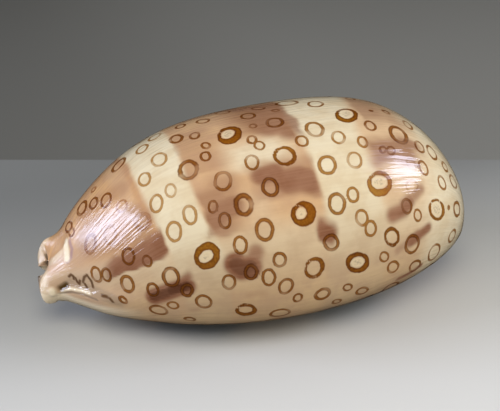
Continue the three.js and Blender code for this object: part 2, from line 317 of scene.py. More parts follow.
def shell_surface(t):
    """Closed loops of points along the shell, each over the outside, round the columella lip, back
    along the hollow and round the outer lip, with each point's angle and the teeth's ridges."""
    ridge, inward, groove = tooth_waves(t)
    corner = towards_ends(LIP_RADIUS, t)
    reach = slit_half(t) + corner
    start = angle_across(t, slit_y(t) + reach, 1)
    stop = angle_across(t, slit_y(t) - reach, -1)
    outer_theta = start + (stop - start) * np.linspace(0, 1, OUTER_STEPS + 1)
    hollow_start = angle_across(t, slit_y(t) + slit_half(t) + UNDERCUT, 1, True)
    hollow_stop = angle_across(t, slit_y(t) - slit_half(t) - UNDERCUT, -1, True)
    inner_theta = hollow_start + (hollow_stop - hollow_start) * np.linspace(1, 0, INNER_STEPS + 1)

    def wall_points(theta, hollow):
        point = np.stack(outline(t, theta, hollow), axis=-1)
        return point, (point + np.stack(outline(t, theta, not hollow), axis=-1)) / 2

    outer, outer_middle = wall_points(outer_theta, False)
    inner, inner_middle = wall_points(inner_theta, True)
    beyond = np.abs(outer[..., 0] - slit_y(t)) - reach
    under = np.abs(outer_theta) > np.pi / 2
    outer[..., 1] += groove * under * (1 - smooth(beyond, 0, GROOVE_REACH))

    def lip(side, outer_end, hollow_end):
        """A lip: a quarter turn of its corner, then its face straight up to the hollow."""
        turned = np.linspace(0, np.pi / 2, CORNER_STEPS + 1)[1:]
        part = turned / (np.pi / 2)
        face = slit_y(t) + side * (slit_half(t) - inward * part)
        low_across = face + side * corner * (1 - np.sin(turned))
        low_height = outer[:, outer_end, None, 1] + corner * (1 - np.cos(turned)) - groove * part
        rise = np.linspace(0, 1, FACE_STEPS + 1)[1:]
        face = slit_y(t) + side * (slit_half(t) - inward * (1 - rise ** 2))
        top = inner[:, hollow_end, None, 1] - UNDERCUT
        high_height = low_height[:, -1:] + (top - low_height[:, -1:]) * rise
        point = np.stack([
            np.concatenate([low_across, face], axis=1),
            np.concatenate([low_height, high_height], axis=1),
        ], axis=-1)
        steps = CORNER_STEPS + FACE_STEPS + 1
        share = (np.arange(1, steps) / steps)[:, None]
        from_theta, from_middle = outer_theta[:, outer_end, None], outer_middle[:, outer_end, None]
        theta = from_theta + (inner_theta[:, hollow_end, None] - from_theta) * share[:, 0]
        middle = from_middle + (inner_middle[:, hollow_end, None] - from_middle) * share
        return point, theta, middle

    near, far = lip(-1, -1, 0), [part[:, ::-1] for part in lip(1, 0, -1)]
    point = np.concatenate([outer, near[0], inner, far[0]], axis=1)
    theta = np.concatenate([outer_theta, near[1], inner_theta, far[1]], axis=1)
    half_way = np.concatenate([outer_middle, near[2], inner_middle, far[2]], axis=1)

    edge = np.minimum(1, np.minimum(t, 1 - t) / END_EDGE)
    thick = END_EDGE_SHARE + (1 - END_EDGE_SHARE) * np.sqrt(1 - (1 - edge) ** 2)
    narrowed = 1 + HOLLOW_CLOSING * (1 - smooth(t, 0.0, CLOSING_REACH))
    column = np.arange(theta.shape[1])
    in_hollow = (column >= HOLLOW_FIRST) & (column <= HOLLOW_LAST) & (t < 0.5)
    point = half_way + (point - half_way) * np.where(in_hollow, narrowed, thick)[..., None]
    place = in_space(t, point[..., 0], point[..., 1]) + rim_offset(t, theta)
    place[..., 2] = np.maximum(place[..., 2], 0)
    return theta, place, ridge


t = row_shares()
theta, place, ridge = shell_surface(t)
rows, around = theta.shape
outside = slice(0, OUTER_STEPS + 1)
outer_count = OUTER_STEPS + 1

# the outward direction at each point, across the steps along and around
along_step = np.gradient(place, axis=0)
around_step = np.roll(place, -1, axis=1) - np.roll(place, 1, axis=1)
normals = np.cross(around_step, along_step)
normals /= np.maximum(np.linalg.norm(normals, axis=-1, keepdims=True), 1e-9)

# The rings. Each is a pixel of the picture where its middle is, its longer and shorter width there
# in pixels, the lean of the longer one in degrees, its line's kind, and how strong its pigment is.
# A ring is found on the surface by a ray from the camera.
HALF_LINE_MM = {"fine": 0.17, "plain": 0.21, "firm": 0.27, "bold": 0.36}
RINGS = [
    # over the canal end
    (68.5, 226.8, 12.5, 8, 75, "plain", 1.0), (71.4, 232, 12.5, 7.5, 100, "plain", 0.9),
    (93.5, 189.5, 8, 4.4, 60, "fine", 0.7), (81.9, 207.9, 17, 9, 65, "firm", 1.0),
    (93.5, 203, 14.5, 8.5, 72, "plain", 0.95), (106, 200, 16.5, 10.5, 68, "plain", 0.9),
    (121.8, 206, 14, 11, 60, "fine", 0.5), (118.5, 164.6, 22, 8, 50, "firm", 1.0),
    (90.4, 243.8, 21, 12, 80, "firm", 0.6), (110, 234.8, 21, 13, 85, "plain", 0.42),
    (142.5, 221.5, 19, 17, 60, "bold", 0.45), (128.3, 256.3, 18, 13.5, 100, "plain", 1.0),
    (147.3, 261.2, 12.5, 10, 110, "fine", 0.8), (96.2, 274.8, 16.5, 8.5, 105, "plain", 0.8),
    (106.4, 275, 15.5, 10, 105, "plain", 0.9), (127.4, 283.9, 19, 13.5, 115, "firm", 0.8),
    (152.7, 289.7, 14.5, 12, 120, "plain", 1.0), (171, 277.2, 20.5, 17.5, 110, "firm", 1.0),
    (187.2, 290.4, 13.5, 12.8, 90, "firm", 1.0), (123, 300, 10.5, 6.5, -35, "plain", 0.9),
    (158.7, 310.3, 19.5, 9, -12, "plain", 0.9), (173, 305.4, 12.5, 8, -10, "fine", 0.7),
    # the first cream band
    (154.6, 136.9, 15.5, 5.5, 30, "plain", 0.7), (142, 148.9, 15, 8, 38, "plain", 0.7),
    (159.1, 159.2, 17, 14.5, 30, "plain", 0.6), (144.4, 179.1, 16.5, 13, 80, "plain", 0.6),
    (170.7, 190.4, 16.5, 12, 98, "fine", 0.5), (156.4, 203.4, 19, 13.5, 80, "plain", 0.6),
    (189.9, 214.7, 20.5, 14.5, 100, "plain", 0.6), (174, 231.5, 21.5, 15.5, 95, "plain", 0.6),
    # the second brown band
    (180.3, 126.2, 11.5, 5, 18, "plain", 0.9), (176.1, 138.7, 14.8, 10, 12, "firm", 1.0),
    (194.7, 135.6, 11.5, 9.7, 30, "plain", 0.9), (202.8, 121, 14.5, 5.8, 8, "plain", 0.9),
    (222.6, 112.5, 16, 4, 8, "fine", 0.6), (205.9, 145.4, 11.4, 8, -20, "plain", 0.8),
    (205.3, 156.3, 11.3, 11, 100, "plain", 0.9), (188.3, 169.5, 21.5, 19.5, 60, "bold", 0.9),
    (248, 116, 15.6, 7, 5, "plain", 1.0), (258.1, 108.3, 14.5, 4.5, 3, "plain", 0.9),
    (253, 126, 8.5, 5.5, 10, "fine", 0.8), (274.6, 122.3, 18, 11.2, 3, "firm", 1.0),
    (275.5, 110.4, 9.4, 3.4, 3, "fine", 0.7), (286.7, 103, 23.7, 6.5, 5, "firm", 1.0),
    (251.9, 139.6, 10.7, 9.4, 0, "plain", 0.9), (259.5, 145.5, 11.6, 9.5, -15, "fine", 0.8),
    (251.9, 162.1, 15.8, 14.5, 110, "plain", 0.8), (222.9, 180.9, 20.5, 18, 80, "firm", 0.8),
    (270.2, 186.9, 19.8, 17, 110, "firm", 1.0), (243.8, 204.7, 22, 19, 100, "bold", 0.9),
    (212.9, 206.8, 13.4, 10, 80, "fine", 0.8), (224.6, 220.5, 16.7, 12.9, 95, "plain", 1.0),
    (301.9, 140.9, 14, 11.5, -25, "plain", 0.8),
    # the second cream band
    (315.5, 103.9, 16.6, 7.2, 0, "plain", 0.9), (314.6, 128.9, 19.6, 15.2, -20, "firm", 0.8),
    (338.4, 137.2, 14.6, 13.3, -40, "plain", 0.7), (362.6, 141.8, 13.5, 10, -55, "plain", 0.7),
    (327.3, 164.7, 19.6, 18.6, 110, "firm", 0.7), (354.6, 159.9, 17.5, 15, -65, "plain", 0.6),
    (337, 203.5, 22, 17.6, 100, "firm", 0.8), (352.9, 194.8, 16, 12.5, 105, "plain", 0.7),
    (361.8, 217.7, 17.2, 13.4, 100, "plain", 0.7), (370.7, 228.5, 16.8, 12.2, 85, "plain", 0.7),
    # the near side
    (240.4, 245.1, 18.6, 14.5, 95, "plain", 0.8), (264.8, 229.7, 22.8, 18.5, 95, "firm", 0.8),
    (251, 272.1, 15.6, 14.4, 90, "firm", 1.0), (229, 282.3, 15.4, 14.3, 90, "plain", 0.9),
    (279.6, 259.6, 15.4, 14, 90, "plain", 0.9), (268.8, 277.5, 17.4, 14.6, 90, "plain", 0.9),
    (286, 286.2, 17.8, 13.8, 55, "plain", 0.9), (297.9, 297.9, 11, 8.6, 30, "fine", 0.9),
    (203.8, 301.8, 17, 13.5, -15, "plain", 0.9), (189.9, 319.2, 12.5, 4, -8, "plain", 0.9),
    (280.2, 313.2, 21.5, 7.2, 8, "plain", 0.9), (322.6, 294.2, 17.5, 11.3, 25, "firm", 0.9),
    (331.2, 242.5, 17.2, 16, 90, "firm", 0.9), (347.6, 287.5, 10.6, 7.4, 15, "fine", 0.9),
    (362.1, 291, 14, 7.6, 20, "plain", 0.8), (336.7, 301.5, 11.2, 5.4, 12, "fine", 0.8),
    (390.3, 287.5, 21, 8, 22, "plain", 0.9), (384.3, 256.9, 11, 10, 90, "fine", 0.8),
    (393.2, 267, 13.8, 11.2, 45, "plain", 0.8), (412.3, 244.3, 20, 14.8, 72, "firm", 0.9),
    (415, 266.1, 14.8, 9.8, 45, "plain", 0.9), (434.3, 252.7, 19.8, 10, 60, "plain", 0.9),
    # the spire end
    (350.3, 98.7, 11, 3.4, -5, "fine", 0.7), (370.2, 125.5, 13.3, 9.5, -35, "plain", 1.0),
    (370.9, 110.7, 6, 3, 0, "plain", 0.9), (386, 112, 11, 4, -30, "plain", 0.8),
    (398.6, 134.4, 23, 14.5, -42, "bold", 0.95), (407.8, 124.9, 14.5, 6, -45, "plain", 0.8),
    (419.7, 146.8, 14.5, 8, -55, "plain", 0.9), (431.9, 152.4, 17.8, 7.4, -58, "plain", 0.9),
    (423.5, 167.8, 16.5, 9, -65, "plain", 0.8), (444.9, 166.7, 12, 5.4, -65, "plain", 0.8),
    (442.1, 182.7, 15.8, 8, -68, "plain", 0.8), (453.4, 181.6, 15.8, 6.4, -68, "plain", 0.9),
    (406.9, 206.3, 16, 11.2, 95, "plain", 0.9), (417.8, 215.5, 13, 8.5, 95, "fine", 0.8),
    (448.7, 207.4, 5.6, 3.4, 85, "fine", 0.8), (457.1, 209.1, 16, 8.2, 92, "firm", 0.9),
    (452.2, 236.1, 15, 7, 68, "plain", 0.8), (382.8, 149.5, 8, 8, 0, "fine", 0.6),
    (391, 150.5, 10, 9, -30, "fine", 0.6), (411.5, 164.5, 15, 9, -60, "fine", 0.35),
    (412, 186, 13.5, 13, 0, "fine", 0.4),
]
# The broad rings, each with its own hole: middle, widths and lean of the ring, then those of the
# hole, whether the hole is paler than the shell round it, and how dark the ring is.
BROAD_RINGS = [
    ((229.6, 134.6, 25.8, 17.6, 14), (227.8, 134.0, 14.5, 8.6, 18), True, 1.0),
    ((207.0, 256.1, 28.6, 25.6, 60), (206.1, 256.7, 18.0, 11.0, 32), True, 0.85),
    ((303.8, 213.8, 26.5, 25.0, 45), (301.2, 213.2, 12.6, 10.8, 70), True, 0.9),
    ((284.9, 155.6, 24.2, 19.8, -12), (284.3, 155.6, 15.6, 13.4, -10), False, 0.55),
    ((346.7, 114.8, 23.6, 13.8, -4), (346.5, 114.0, 14.4, 8.6, -5), True, 1.0),
    ((379.9, 183.4, 26.2, 25.2, 100), (379.4, 181.9, 16.4, 13.2, 0), True, 0.25),
    ((437.2, 209.8, 22.5, 16.0, 100), (436.8, 209.2, 16.4, 10.6, 98), True, 0.6),
    ((392.2, 237.1, 21.0, 15.8, 95), (392.0, 237.1, 12.6, 10.6, 90), False, 0.75),
    ((357.8, 262.7, 24.4, 21.0, 12), (357.6, 262.3, 15.4, 10.8, 20), True, 1.0),
    ((314.4, 267.9, 23.6, 20.0, 55), (313.9, 268.0, 15.0, 12.4, 55), False, 0.6),
    ((246.0, 310.3, 22.0, 13.0, 2), (245.6, 309.8, 13.6, 6.4, 4), False, 0.7),
]
# A line's share of a ring's drawn width, how far a foreshortened ring may be out of round, how near
# two rings of one layer may come, and values that mean that a point is far from any ring.
LINE_IN_WIDTH = 0.8
OUT_OF_ROUND = 1.45
RING_GAP_MM = 0.35
RING_REACH_MM = 6
LEAST_FACING = 0.25
FAR_OFF_MM = 9.0
NO_LINE = 40.0
NO_RING = -2.0

outer_place = place[:, outside].reshape(-1, 3)
outer_normal = normals[:, outside].reshape(-1, 3)
corner_index = (np.arange(rows - 1)[:, None] * outer_count + np.arange(OUTER_STEPS)).ravel()
outer_faces = corner_index[:, None] + [0, 1, outer_count + 1, outer_count]
surface_tree = BVHTree.FromPolygons(outer_place.tolist(), outer_faces.tolist())


def seen_place(x, y):
    """The ray from the camera through a pixel, and the place and direction of the shell there."""
    ray = -camera_back * LENS_PIXELS
    ray = ray + camera_right * (x - AXIS_PIXEL[0]) - camera_up * (y - AXIS_PIXEL[1])
    ray = ray / np.linalg.norm(ray)
    found, normal, _, _ = surface_tree.ray_cast(Vector(camera_place), Vector(ray))
    return ray, found, normal


def ellipse_on_surface(x, y, longer, shorter, lean, line_pixels=0.0):
    """Where the ray through a pixel meets the shell, two directions in the surface there, the
    matrix that takes a place in them, in mm, to the ellipse's unit circle, and its longer radius.
    The matrix is the ellipse's widths and lean after the camera's own projection, with the
    foreshortened width, which is hard to read, kept near the other."""
    ray, found, normal = seen_place(x, y)
    if found is None:
        return None
    found, normal = np.array(found), np.array(normal)
    if normal @ ray > 0:
        normal = -normal
    first = np.cross(normal, ray)
    first = first / np.linalg.norm(first)
    axes = np.stack([first, np.cross(normal, first)])
    offset = found - camera_place
    depth = -offset @ camera_back
    to_picture = LENS_PIXELS / depth * np.stack([
        camera_right + offset @ camera_right / depth * camera_back,
        camera_up + offset @ camera_up / depth * camera_back,
    ])
    angle = math.radians(lean)
    turn = np.array([[math.cos(angle), math.sin(angle)], [-math.sin(angle), math.cos(angle)]])
    widths = np.diag([2 / (longer - line_pixels), 2 / (shorter - line_pixels)])
    left, shares, own = np.linalg.svd(widths @ turn @ to_picture @ axes.T)
    radii = 1 / shares
    deep = int(abs(own[1, 1]) > abs(own[0, 1]))
    other = radii[1 - deep]
    radii[deep] = min(max(radii[deep], other / OUT_OF_ROUND), other * OUT_OF_ROUND)
    return found, axes, left @ np.diag(1 / radii) @ own, radii.max()


def ellipse_distance(centre, axes, unit):
    """Signed distance in mm from each outer point to an ellipse on the surface: (r - 1) r / |M'M q|
    with r = |M q|, which is (r - 1) over the gradient of r. Points that face away or are far off
    get a large distance."""
    away = outer_place - centre
    turned = away @ axes.T @ unit.T
    radius = np.maximum(np.linalg.norm(turned, axis=1), 1e-6)
    slope = np.maximum(np.linalg.norm(turned @ unit, axis=1) / radius, 1e-6)
    facing = np.abs(outer_normal @ np.cross(axes[0], axes[1])) > LEAST_FACING
    near = facing & (np.linalg.norm(away, axis=1) < RING_REACH_MM)
    return np.where(near, (radius - 1) / slope, FAR_OFF_MM)


ring_fields = np.full((2, len(outer_place)), NO_LINE)
ring_tones = np.zeros((2, len(outer_place)))
laid = []


def lay_ring(centre, axes, unit, size, half_line, tone):
    """Adds a ring to the first of the two layers in which it touches no other: each layer keeps, at
    every point, the distance to its nearest line as a multiple of half the line's width."""
    taken = {layer for other, reach, layer in laid
             if np.linalg.norm(centre - other) < size + reach + RING_GAP_MM}
    layer = 0 if 0 not in taken else 1
    laid.append((centre, size, layer))
    field = ellipse_distance(centre, axes, unit) / half_line
    nearer = np.abs(field) < np.abs(ring_fields[layer])
    ring_fields[layer] = np.where(nearer, field, ring_fields[layer])
    ring_tones[layer] = np.where(nearer, tone, ring_tones[layer])


PIXELS_PER_MM = LENS_PIXELS / DISTANCE_MM
for *ring, line, tone in RINGS:
    half_line = HALF_LINE_MM[line]
    fitted = ellipse_on_surface(*ring, 2 * half_line * PIXELS_PER_MM * LINE_IN_WIDTH)
    if fitted:
        lay_ring(*fitted, half_line, tone)

# A broad ring is neither of the two layers: it has a field of its own, above nought in its band,
# and so have the pale holes.
BROAD_LAYER = 2
broad_field = np.full(len(outer_place), NO_RING)
hole_field = np.full(len(outer_place), NO_RING)
broad_tone = np.ones(len(outer_place))
for ring, hole, pale, tone in BROAD_RINGS:
    rim, gap = ellipse_on_surface(*ring), ellipse_on_surface(*hole)
    gap_distance = ellipse_distance(*gap[:3])
    band = np.minimum(-ellipse_distance(*rim[:3]), gap_distance)
    broad_tone = np.where(band > np.maximum(broad_field, -1), tone, broad_tone)
    broad_field = np.maximum(broad_field, band)
    laid.append((rim[0], rim[3], BROAD_LAYER))
    if pale:
        hole_field = np.maximum(hole_field, -gap_distance)

# The rings that the picture doesn't show are strewn over the far side with the same spacing and
# sizes: their number, seed and most tries, the least gap, the half widths and their growth in
# mid-length, the broad ones' share and extra half width, how out of round they are, a broad one's
# hole as a share of it, the pigment's strength, how far from the base and the ends they keep, and
# how little they may face the camera.
FAR_RINGS = 150
FAR_SEED = 11
FAR_TRIES = 9000
FAR_GAP_MM = 0.55
FAR_HALF_MM = (0.95, 1.15)
FAR_GROWTH_MM = 0.75
FAR_BROAD = (0.07, 0.5)
FAR_LONGER = (1.0, 1.2)
FAR_HOLE = (0.45, 0.6)
FAR_TONES = (0.6, 1.0)
FAR_DEGREES = 118
FAR_SHARES = (0.07, 0.965)
FACING_AWAY = 0.04

chance = np.random.default_rng(FAR_SEED)
outer_degrees = np.degrees(theta[:, outside]).ravel()
outer_t = np.repeat(t[:, 0], outer_count)
towards_camera = camera_place - outer_place
towards_camera /= np.linalg.norm(towards_camera, axis=1, keepdims=True)
allowed = (outer_normal * towards_camera).sum(axis=1) < FACING_AWAY
allowed &= np.abs(outer_degrees) < FAR_DEGREES
allowed &= (outer_t > FAR_SHARES[0]) & (outer_t < FAR_SHARES[1])
strewn = 0
for index in chance.permutation(np.flatnonzero(allowed))[:FAR_TRIES]:
    middle = math.sin(math.pi * min(max(outer_t[index], 0.1), 0.9))
    size = chance.uniform(*FAR_HALF_MM) + middle * chance.uniform(0.0, FAR_GROWTH_MM)
    broad = chance.random() < FAR_BROAD[0]
    size = size + FAR_BROAD[1] * broad
    centre = outer_place[index]
    if any(np.linalg.norm(centre - other) < size + reach + FAR_GAP_MM for other, reach, _ in laid):
        continue
    first = np.cross(outer_normal[index], [1.0, 0.0, 0.0])
    first /= np.linalg.norm(first)
    axes = np.stack([first, np.cross(outer_normal[index], first)])
    shape = np.diag([1 / (size * chance.uniform(*FAR_LONGER)), 1 / size])
    if broad:
        hole = np.diag(1 / (size * chance.uniform(*FAR_HOLE, 2)))
        band = np.minimum(-ellipse_distance(centre, axes, shape),
                          ellipse_distance(centre, axes, hole))
        broad_field = np.maximum(broad_field, band)
        laid.append((centre, size, BROAD_LAYER))
    else:
        half_line = chance.choice([HALF_LINE_MM[line] for line in ("fine", "plain", "firm")])
        lay_ring(centre, axes, shape, size, half_line, chance.uniform(*FAR_TONES))
    strewn += 1
    if strewn == FAR_RINGS:
        break

# The colour bands across the back, and the darker patches in them. A band's edge is a share of the
# length that changes with the angle from the crest, and a patch is a soft-edged box along the
# shell.
BAND_EDGES = [
    [(-110, 0.335), (-72, 0.318), (-55, 0.304), (-39, 0.294),
     (-27, 0.290), (2, 0.283), (110, 0.27)],
    [(-110, 0.41), (-64, 0.395), (-55, 0.384), (-39, 0.373),
     (-16, 0.373), (18, 0.369), (110, 0.365)],
    [(-110, 0.59), (-57, 0.587), (-41, 0.584), (-21, 0.580),
     (-8, 0.580), (20, 0.595), (110, 0.59)],
    [(-110, 0.71), (-70, 0.704), (-47, 0.689), (-23, 0.687),
     (-11, 0.693), (19, 0.718), (110, 0.71)],
]
# How soft each edge is, the middle and spire bands' strengths, where the spire band fades, how the
# bands pale down the sides, and the pale and the dark strip along the canal band's edge.
BAND_SOFT_MM = (0.5, 0.5, 0.6, 0.9)
MIDDLE_BAND, SPIRE_BAND = 0.85, 0.75
MIDDLE_BAND_FROM = 0.34
SPIRE_BAND_FADE = (0.76, 0.83)
SIDE_PALING, SIDE_DEGREES = 0.75, (58, 72)
PALE_STRIP, PALE_STRIP_MM = 0.12, ((-4.5, -2.5), (-1.6, -0.6))
DARK_STRIP, DARK_STRIP_MM = 0.28, ((-1.6, -0.8), (-0.4, 0.4))
DARK_STRIP_DEGREES = ((-72, -50), (20, 60))
PATCHES = [
    # share and degrees at its start, share and degrees at its end, half height in degrees,
    # softness in mm at its start, its end, its crest side and its base side, strength
    (0.190, -71, 0.312, -62, 6.5, 1.8, 0.4, 1.8, 0.5, 1.02),
    (0.262, -93, 0.345, -84, 4.5, 2.0, 0.8, 1.4, 1.2, 1.0),
    (0.370, -14, 0.445, -15, 20, 0.4, 2.8, 2.5, 0.5, 0.38),
    (0.480, 6, 0.594, -2, 23, 4.2, 0.5, 2.0, 1.6, 0.72),
    (0.470, -44, 0.587, -46, 10.0, 2.6, 0.4, 2.0, 0.5, 0.46),
    (0.392, -45, 0.462, -47, 9, 1.6, 2.0, 2.5, 2.2, 0.5),
    (0.381, -53, 0.440, -55, 11.5, 0.5, 2.4, 2.2, 0.6, 0.58),
    (0.569, -70, 0.603, -71, 4.0, 0.6, 0.9, 0.8, 0.8, 1.05),
    (0.706, -6, 0.765, -4, 15, 0.7, 2.6, 1.5, 2.2, 0.52),
    (0.740, -6, 0.790, -12, 14, 2.0, 2.0, 2.0, 2.0, 0.35),
    (0.690, -39, 0.790, -40, 8.5, 1.4, 1.8, 1.4, 1.2, 0.7),
    (0.745, -33, 0.805, -36, 5.0, 1.8, 1.4, 1.0, 1.2, 0.7),
    (0.430, -94, 0.475, -92, 2.5, 0.9, 0.9, 0.9, 0.9, 0.3),
    (0.335, -101, 0.362, -100, 2.0, 0.7, 0.7, 0.7, 0.7, 0.35),
    # the far side
    (0.20, 42, 0.27, 44, 9, 1.4, 0.5, 1.2, 0.8, 0.6),
    (0.18, 74, 0.262, 78, 8, 1.4, 0.5, 1.0, 1.0, 0.8),
    (0.38, 48, 0.47, 52, 10, 0.5, 2.0, 1.4, 0.6, 0.7),
    (0.48, 68, 0.585, 66, 10, 2.0, 0.5, 1.4, 0.6, 0.85),
    (0.40, 86, 0.46, 88, 7, 0.6, 1.5, 1.0, 0.8, 0.8),
    (0.52, 98, 0.58, 97, 6, 1.4, 0.6, 0.8, 0.8, 0.8),
    (0.72, 48, 0.80, 46, 9, 0.6, 2.0, 1.4, 1.2, 0.75),
    (0.74, 78, 0.79, 76, 7, 0.8, 1.4, 1.0, 0.8, 0.8),
]
# Smudges and fine lines, read as pixels of the picture along their middles, then half their width
# and their softness in mm, their strength, and whether the middle band's edges cut them off.
SMUDGES = [
    ([(287, 181), (300, 178), (312, 181)], 1.2, 2.4, 0.9, True),
    ([(262, 176), (275, 172)], 0.7, 2.4, 0.92, True),
    ([(213, 222), (221, 212), (232, 206)], 0.9, 2.4, 0.74, True),
    ([(206, 228), (212, 216)], 0.6, 1.8, 0.7, True),
    ([(269, 128), (284, 124), (290, 130)], 1.2, 3.0, 0.74, True),
    ([(171, 291), (180, 288), (187, 286)], 0.5, 1.6, 1.3, False),
    ([(186, 290), (188, 291)], 0.6, 0.5, 0.95, False),
    ([(154, 297), (166, 293), (174, 290)], 0.6, 1.5, 1.25, False),
    ([(236, 264), (242, 269), (250, 267)], 0.9, 1.8, 1.2, False),
    ([(253, 262), (256, 252)], 0.4, 1.8, 0.75, False),
    ([(250, 271), (252, 273)], 0.7, 0.7, 1.1, False),
    ([(393, 215), (404, 210)], 0.3, 2.0, 0.9, False),
    ([(404, 206), (410, 201)], 0.4, 1.6, 0.8, False),
    ([(408, 203), (421, 189)], 0.2, 1.5, 0.65, False),
    ([(411, 241), (418, 236)], 0.4, 1.4, 1.0, False),
    ([(418, 236), (428, 228)], 0.2, 1.4, 0.95, False),
    # partly the canal band's own mauve and partly painted reflection: the grey mauve fringe of the
    # left window's highlight
    ([(86, 212), (103, 200), (120, 190)], 0.7, 2.6, 0.42, False),
    ([(92, 236), (116, 230), (134, 224)], 2.0, 3.5, 0.5, False),
    ([(398, 250), (406, 244)], 0.3, 1.0, 0.45, False),
    ([(398, 279), (410, 273), (421, 265)], 0.2, 0.6, 0.95, False),
    ([(127, 256), (129, 257)], 0.7, 0.7, 0.8, False),
    ([(406, 206), (408, 207)], 0.5, 0.6, 0.9, False),
]
# The canal end's own small forms and stains, with its painted highlights and painted shade, as
# pixels, half width and softness.
# The pit is sunk into the surface and its inside is painted dark as shade.
RIM_PIT = ([(60.8, 288.5), (65.6, 285.6)], 0.12, 0.75)
# The knob and the ledge's edge are raised forms; in the colour they also carry a painted highlight.
RIM_KNOB = ([(52.3, 291), (52.7, 293)], 0.25, 0.75)
LEDGE_LINE = ([(62, 291), (66, 289.6), (72, 288.8), (83, 291), (90, 293.6)], 0.02, 0.42)
LEDGE_SHADOW = ([(60, 294.5), (66, 293), (72, 292.6), (84, 295.2), (97, 300.5)], 0.05, 0.28)
LEDGE_GREY = ([(70, 285), (83, 287.5), (95, 292), (107, 297), (118, 302)], 0.5, 0.9)
# Painted highlights along the near lobe's rim and the far lobe's front, over their own pale rim
# colour.
RIM_HIGHLIGHTS = [
    ([(46, 264), (44.5, 275), (43.3, 285), (44.5, 294), (50, 300.5)], 0.35, 0.8),
    ([(45, 240), (41, 248), (39.5, 258), (41, 266)], 0.6, 0.7),
    ([(50, 262), (55, 259), (60, 253)], 0.2, 1.1),
]
# A painted highlight: a white streak on the callus beside the notch.
WHITE_CALLUS_HIGHLIGHT = ([(65.5, 242), (66.5, 251), (67, 258)], 0.3, 0.7)
LILAC_STREAK = ([(69.5, 241), (72, 249), (71, 257), (67.5, 262)], 0.12, 0.4)
SCRIBBLES = [
    [(69, 276.5), (71, 274.6), (73.5, 276.2), (73.8, 279)], [(75.5, 278), (77, 281.5), (79.5, 284)],
    [(79.5, 284), (80, 280.5)], [(83, 282), (84.3, 277), (87, 275)],
    [(87, 275), (91, 280.5), (93, 287)], [(102, 295.5), (106, 296.5), (110, 298.5), (113, 302)],
    [(85, 284), (87, 287.5)],
]
SCRIBBLE_LINE_MM = (0.13, 0.22)
PALE_PATCHES = [
    (0.447, -31, 0.560, -29, 9, 1.8, 3.0, 2.5, 1.8, 0.85),
    (0.455, -55, 0.500, -58, 7, 2.0, 2.0, 2.0, 2.0, 0.3),
]
# The four dark blotches on the base, two on each side of the slit: the share and degrees of each
# one's middle, and half its length and half its width in mm.
BASE_BLOTCHES = [
    (0.360, 128, 7.6, 5.8), (0.665, 130, 6.8, 6.2), (0.370, -133, 7.2, 5.6),
    (0.675, -132, 7.0, 5.4),
]
BLOTCH_EDGE = (0.72, 1.2)
BASE_DEGREES = (104, 122)
# The surface's length and breadth, and the edges' wander along and across it: for a coarse and a
# fine layer its height and its waves' size in mm, and a seed.
LENGTH_MM = 82.0
MM_PER_DEGREE = 0.36
WAVES = 6
ALONG_WANDER = ((0.35, 6, 3), (0.15, 2.5, 4))
ACROSS_WANDER = ((0.4, 7, 5), (0.2, 3, 6))
BLOTCH_WANDER = 1.6

degrees = np.degrees(theta)
share_along = t + 0 * theta
along_mm = share_along * LENGTH_MM
across_mm = degrees * MM_PER_DEGREE


def wander(layers):
    """A smooth even wander: for each layer its height times a sum, between about -1 and 1, of sine
    waves of seeded lengths and directions."""
    total = 0
    for height, size, seed in layers:
        waves = np.random.default_rng(seed)
        layer = 0
        for _ in range(WAVES):
            way = waves.uniform(0, 2 * np.pi)
            pace = 2 * np.pi / (size * waves.uniform(0.6, 1.6))
            layer = layer + np.sin(pace * (along_mm * np.cos(way) + across_mm * np.sin(way))
                                   + waves.uniform(0, 2 * np.pi))
        total = total + height * layer / 2.6
    return total


along_wander, across_wander = wander(ALONG_WANDER), wander(ACROSS_WANDER)


def patch_field(patches):
    """For each patch, a product of smooth steps at its two ends and its two sides, with its sides
    slanting from the first angle to the second; the strongest patch counts."""
    field = np.zeros_like(theta)
    for (start, start_angle, end, end_angle, high,
         start_soft, end_soft, crest_soft, base_soft, strength) in patches:
        part = (share_along - start) / (end - start)
        axis = start_angle + (end_angle - start_angle) * np.clip(part, -0.5, 1.5)
        base_side = np.sign(start_angle + end_angle)
        below = (degrees - axis) * base_side * MM_PER_DEGREE + across_wander
        reach = high * MM_PER_DEGREE
        before = (start - share_along) * LENGTH_MM + along_wander
        after = (share_along - end) * LENGTH_MM + along_wander
        inside = 1 - smooth(before, -start_soft, start_soft)
        inside = inside * (1 - smooth(after, -end_soft, end_soft))
        inside = inside * (1 - smooth(below - reach, -base_soft, base_soft))
        inside = inside * smooth(below + reach, -crest_soft, crest_soft)
        field = np.maximum(field, strength * inside)
    return field


def blotch_field(blotches):
    """For each blotch, one minus a smooth step of the distance from its middle, measured in half
    lengths and half widths and shaken by the wander; the strongest blotch counts."""
    field = np.zeros_like(theta)
    for share, angle, half_length, half_width_mm in blotches:
        along = (share_along - share) * LENGTH_MM + BLOTCH_WANDER * along_wander
        across = (degrees - angle) * MM_PER_DEGREE + BLOTCH_WANDER * across_wander
        distance = np.hypot(along / half_length, across / half_width_mm)
        field = np.maximum(field, 1 - smooth(distance, *BLOTCH_EDGE))
    return field


def over_outside(outer_values, elsewhere):
    """The values of the outside's points, with one value at all others."""
    grid = np.full(theta.shape, float(elsewhere))
    grid[:, outside] = outer_values.reshape(rows, outer_count)
    return grid


